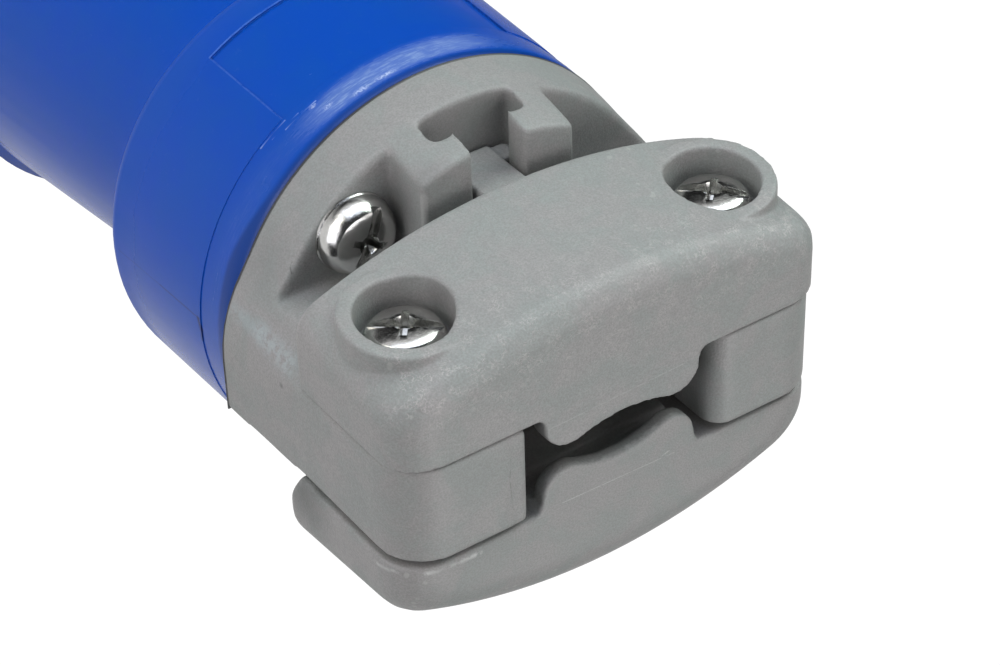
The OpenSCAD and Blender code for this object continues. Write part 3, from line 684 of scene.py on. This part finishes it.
def speckled(name, dark, light, size, roughness, metallic=0.0, relief=0.05):
    """A plain material with a fine two-tone grain."""
    material, nodes, shader, place = start_material(name, roughness, metallic)
    grain = nodes.noise(place, size, 3.0, 0.6)
    nodes.set(shader["Base Color"], nodes.mix(grain, (*dark, 1), (*light, 1)))
    rough = nodes.times(nodes.noise(place, size * 6), 0.2)
    nodes.set(shader["Roughness"], nodes.plus(rough, roughness - 0.1))
    nodes.set(shader["Normal"], nodes.bump(grain, 0.3, relief))
    return material


# Plastic mouldings


def make_shell(material):
    """Rear shell: its joint face is drawn down before it is remeshed, and trimmed after."""
    piece = merged_copy("back_shell", "rear_shell")
    spigot = merged_copy("back_shell", "spigot")
    below = block("lower", (-BEYOND, -BEYOND, 97), (BEYOND, BEYOND, JOINT + 0.15))
    cut(spigot, below, "INTERSECT")
    for vertex in piece.data.vertices:
        if at_level(vertex, JOINT):
            vertex.co.z -= SHELL_SPARE * MM
    cut(piece, block("post_side", (10.55, -5.0, 113), (12.6, 5.4, 133.9)), "UNION")
    moulded(piece, voxel=0.3, rounding=12)
    cut(piece, block("under", (-BEYOND, -BEYOND, 90), (BEYOND, BEYOND, JOINT + 0.02)))
    cut(piece, spigot, "UNION")
    smooth(piece, 45)
    stands_for(piece, "back_shell", material)


def make_front_jaw(material):
    """Front jaw: a thin lobed rib at its end, hollow behind it, and two screw pockets."""
    piece = merged_copy("clamp_jaw_front", "front_jaw")
    cut(piece, block("hollow", (-9.7, -4.4, 129.7), (9.7, 0, 131.8)))
    moulded(piece, voxel=0.21, rounding=7)
    smooth(piece, 45)
    stands_for(piece, "clamp_jaw_front", material)


def make_back_jaw(material):
    """Back jaw: a thin rib with two lobes, hollow behind it, and a seam under each post."""
    piece = merged_copy("clamp_jaw_back", "back_jaw")
    cut(piece, block("hollow", (-9.7, 0, 129.1), (9.7, 5.4, 131.6)))
    for left, right in ((-BEYOND, -8.9), (8.9, BEYOND)):
        cut(piece, block("seam", (left, 5.0, 118), (right, 6.25, 135)))
    moulded(piece, voxel=0.22, rounding=13)
    smooth(piece, 45)
    stands_for(piece, "clamp_jaw_back", material)


def make_housing(material):
    """Sleeve, neck and collar, with the key and the sunk label field.

    The band at the end of the collar is a little wider than in the CAD.
    """
    piece = merged_copy("sleeve_housing", "sleeve_and_collar")
    for vertex in piece.data.vertices:
        if at_level(vertex, BAND_IN_CAD) and vertex.co.xy.length > 21 * MM:
            vertex.co.z = BAND * MM
    edit_all()
    bpy.ops.mesh.dissolve_limited(angle_limit=math.radians(0.3))
    leave_edit()
    bevel(piece, 0.07, 50)
    smooth(piece, 40)
    even = piece.modifiers.new("even_shading", "WEIGHTED_NORMAL")
    even.keep_sharp = True
    apply_modifiers(piece)
    stands_for(piece, "sleeve_housing", material)


# Screws, nuts and inner pieces


def screw_outline(length):
    """Outline of a pan head screw with ring threads, head up, its seat at 0."""
    pitch, tip, depth = SHANK_R * 0.34, 0.5, 0.22
    points = [(0, -length), (SHANK_R - 0.5, -length), (SHANK_R - 0.15, -length + tip)]
    z = -length + tip + pitch
    while z < -1.2:
        points += [(SHANK_R, z - pitch / 2), (SHANK_R - depth, z)]
        z += pitch
    points += [(SHANK_R, -0.9), (SHANK_R, -0.02), (HEAD_R - 0.1, -0.02)]
    points += [(HEAD_R, 0.08), (HEAD_R, 0.28), (HEAD_R - 0.12, 0.4)]
    points += arc((HEAD_R - 0.1 - HEAD_HEIGHT, 0.35), HEAD_HEIGHT, 3, 44, 7)
    edge = (points[-1][0] - 0.12, points[-1][1] + 0.1)
    rise = HEAD_HEIGHT - edge[1]
    crown = [
        (edge[0] * (1 - t), edge[1] + rise * (1 - (1 - t) ** 2))
        for t in (0, 0.25, 0.5, 0.75, 1)
    ]
    return points + crown


def make_screw(node, name, material, length, place, angle):
    """Pan head screw with a slotted cross recess, set at a place with its slot at an angle."""
    r, h = HEAD_R, HEAD_HEIGHT
    piece = turned(name, screw_outline(length), 64)
    wide = r * 0.27
    cut(piece, block("slot", (-r * 1.1, -wide / 2, h * 0.66), (r * 1.1, wide / 2, h * 1.3)))
    # A deeper cross in the middle, its arms narrower than the slot
    for turn in (0, 90):
        arm = block("arm", (-r * 0.68, -wide / 2, h * 0.3), (r * 0.68, wide / 2, h * 1.4))
        arm.scale = (0.62, 0.62, 1)
        arm.rotation_euler = (0, 0, math.radians(turn))
        settle(arm)
        cut(piece, arm)
    core = [(0, h * 0.2), (r * 0.1, h * 0.25), (r * 0.3, h * 1.2), (0, h * 1.2)]
    cut(piece, turned("core", core, 24))
    bevel(piece, 0.07, 35)
    smooth(piece, 35)
    piece.matrix_world = place @ Matrix.Rotation(math.radians(angle), 4, "Z")
    settle(piece)
    stands_for(piece, node, material)


def make_nut(node, name, material, place):
    """Hexagon nut with chamfered corners and a threaded bore."""
    half = NUT_HEIGHT / 2
    corner = NUT_ACROSS / 2 / math.cos(math.pi / 6)
    bpy.ops.object.select_all(action="DESELECT")
    bpy.ops.mesh.primitive_cylinder_add(vertices=6, radius=corner * MM, depth=NUT_HEIGHT * MM)
    piece = bpy.context.object
    piece.name = name
    piece.rotation_euler = (0, 0, math.radians(90))
    settle(piece)
    lens = [(0, -half), (corner - 0.7, -half), (corner + 0.05, -half + 0.45)]
    lens += [(r, -z) for r, z in reversed(lens)]
    cut(piece, turned("lens", lens, 64), "INTERSECT")
    mouth, crest, groove = 2.5, 2.1, 2.32
    bore = [(0, -half - 0.4), (mouth, -half - 0.4), (mouth, -half), (crest, -half + 0.35)]
    for i in range(4):
        bore += [(groove, -1.0 + i * 0.6), (crest, -0.7 + i * 0.6)]
    bore += [(crest, half - 0.35), (mouth, half), (mouth, half + 0.4), (0, half + 0.4)]
    cut(piece, turned("bore", bore, 48))
    bevel(piece, 0.1, 40)
    smooth(piece, 35)
    piece.matrix_world = place
    settle(piece)
    stands_for(piece, node, material)


def make_fasteners(steel):
    """The two clamp screws with their nuts, and the two screws that hold the shell."""
    to_front = Matrix.Rotation(math.radians(90), 4, "X")
    length = CLAMP_SEAT + CLAMP_REACH
    for side, name in ((1, "right"), (-1, "left")):
        x, z = side * CLAMP_SCREW_X * MM, CLAMP_HEIGHT * MM
        seat = Matrix.Translation((x, -CLAMP_SEAT * MM, z)) @ to_front
        screw = (f"clamp_screw_{name}", f"cord_clamp_screw_{name}")
        make_screw(*screw, steel, length, seat, SLOT_ANGLES[name])
        seat = Matrix.Translation((x, (NUT_SEAT + NUT_HEIGHT / 2) * MM, z)) @ to_front
        make_nut(f"clamp_nut_{name}", f"cord_clamp_nut_{name}", steel, seat)
    for x, y, name in ((1, -1, "front"), (-1, 1, "back")):
        place = (x * ASSEMBLY_X * MM, y * ASSEMBLY_Y * MM, ASSEMBLY_SEAT * MM)
        screw = (f"assembly_screw_{name}", f"shell_screw_{name}")
        seat = Matrix.Translation(place)
        make_screw(*screw, steel, ASSEMBLY_LENGTH, seat, SLOT_ANGLES[name])


def softened(node, name, material, width):
    """A hard piece from its CAD form, its edges lightly rounded."""
    piece = merged_copy(node, name)
    bevel(piece, width, 40)
    smooth(piece, 35)
    stands_for(piece, node, material)


def make_hidden(finishes):
    """Seals, contacts and their screws, mostly inside the housing."""
    softened("housing_gasket", "gasket", finishes["black_rubber"], 0.15)
    softened("cord_seal", "cord_bush", finishes["black_rubber"], 0.3)
    softened("pin_carrier", "insulator", finishes["black_plastic"], 0.25)
    for node in ("line_pin_left", "line_pin_right", "earth_pin"):
        softened(node, f"{node}_turned", finishes["brass"], 0.15)
    screws = ["carrier_screw_left", "carrier_screw_right"]
    screws += ["terminal_screw_left", "terminal_screw_right", "terminal_screw_earth"]
    for node in screws:
        softened(node, f"{node}_plated", finishes["plated_steel"], 0.06)


# Stage


def set_camera():
    data = bpy.data.cameras.new("camera")
    data.lens = CAMERA_LENS
    data.sensor_width = 36
    data.sensor_fit = "HORIZONTAL"
    data.clip_start = 0.01
    data.dof.use_dof = False
    camera = bpy.data.objects.new("camera", data)
    bpy.context.scene.collection.objects.link(camera)
    turn = Matrix((CAMERA_RIGHT, CAMERA_UP, CAMERA_BACK)).transposed().to_4x4()
    camera.matrix_world = Matrix.Translation(CAMERA_PLACE) @ turn
    bpy.context.scene.camera = camera


def area_lamp(name, place, size, power, color):
    """A square soft lamp at a place, turned towards the shell."""
    data = bpy.data.lights.new(name, "AREA")
    data.shape = "SQUARE"
    data.size = size
    data.energy = power
    data.color = color
    lamp = bpy.data.objects.new(name, data)
    bpy.context.scene.collection.objects.link(lamp)
    lamp.location = place
    aim = Vector(LAMPS_AIM) - Vector(place)
    lamp.rotation_euler = aim.to_track_quat("-Z", "Y").to_euler()


def light_scene():
    """Soft lamps all round, and a faint world."""
    world = bpy.data.worlds.new("studio")
    bpy.context.scene.world = world
    world.use_nodes = True
    background = world.node_tree.nodes["Background"].inputs
    background["Color"].default_value = (0.95, 0.97, 1.0, 1)
    background["Strength"].default_value = 0.02
    for lamp in LAMPS:
        area_lamp(*lamp)


def white_floor():
    """White for the camera, a bright side and a far end for reflections, matt for the shadow."""
    material = bpy.data.materials.new("white_floor")
    material.use_nodes = True
    material.node_tree.nodes.clear()
    nodes = Nodes(material.node_tree)
    path = nodes.add("ShaderNodeLightPath").outputs
    camera, glossy = path["Is Camera Ray"], path["Is Glossy Ray"]
    split = nodes.split(nodes.add("ShaderNodeTexCoord").outputs["Object"])
    diagonal = nodes.plus(nodes.times(split[0], 0.6), nodes.times(split[1], 0.8))
    bright_side = nodes.ramp(diagonal, -0.12, 0.06)
    far_end = nodes.ramp(split[1], -0.18, -0.4)
    shine = nodes.times(nodes.math("MAXIMUM", bright_side, far_end), 0.8)
    shine = nodes.times(glossy, nodes.plus(shine, 0.01))
    strength = nodes.math("MAXIMUM", nodes.times(camera, 1.1), shine)
    share = nodes.math("MAXIMUM", nodes.times(camera, 0.85), glossy)
    matt = nodes.add("ShaderNodeBsdfDiffuse", {"Color": (0.86, 0.86, 0.86, 1)}).outputs[0]
    glow = nodes.add("ShaderNodeEmission", {"Strength": strength}).outputs[0]
    mixed = nodes.add("ShaderNodeMixShader", {0: share, 1: matt, 2: glow}).outputs[0]
    nodes.add("ShaderNodeOutputMaterial", {"Surface": mixed})
    return material


def lay_floor():
    """White floor that keeps the shadow of the plug."""
    bpy.ops.object.select_all(action="DESELECT")
    bpy.ops.mesh.primitive_plane_add(size=6, location=(0, 0, -0.0002))
    floor = bpy.context.object
    floor.name = "floor"
    floor.data.materials.append(white_floor())


# The scene

bpy.context.scene.view_settings.view_transform = "Standard"
set_camera()
light_scene()
lay_floor()

SPOT_MARK = spot_group()
LINE_MARK = line_group()
EDGE_WEAR_SHEEN_AND_SHADE = wear_sheen_and_shade_group()
GRAIN = grain_group()
SCUFFS = scuff_group()
FINISHES = {
    "blue_plastic": blue_plastic(),
    "black_plastic": speckled(
        "black_plastic", (0.016, 0.017, 0.018), (0.028, 0.029, 0.03), 0.4, 0.5
    ),
    "black_rubber": speckled("black_rubber", grey(0.01), grey(0.022), 0.5, 0.7),
    "plated_steel": plated_steel(),
    "brass": speckled("brass", (0.52, 0.36, 0.14), (0.68, 0.5, 0.22), 0.6, 0.3, 1.0, 0.02),
}
FRONT_JAW_GREY = grey_plastic(
    "grey_front_jaw", 1.02, FRONT_JAW_MARKS_AND_SHADE, FRONT_JAW_LINES, scuffed=0.15, rub=JAW_RUB
)
BACK_JAW_GREY = grey_plastic("grey_back_jaw", 1.0, BACK_JAW_SHADE, BACK_JAW_LINES, scuffed=0.06)
SHELL_GREY = grey_plastic("grey_shell", 1.0, SHELL_MARKS_AND_SHADE, SHELL_LINES, joint=True)

make_front_jaw(FRONT_JAW_GREY)
make_back_jaw(BACK_JAW_GREY)
make_shell(SHELL_GREY)
make_housing(FINISHES["blue_plastic"])
make_fasteners(FINISHES["plated_steel"])
make_hidden(FINISHES)
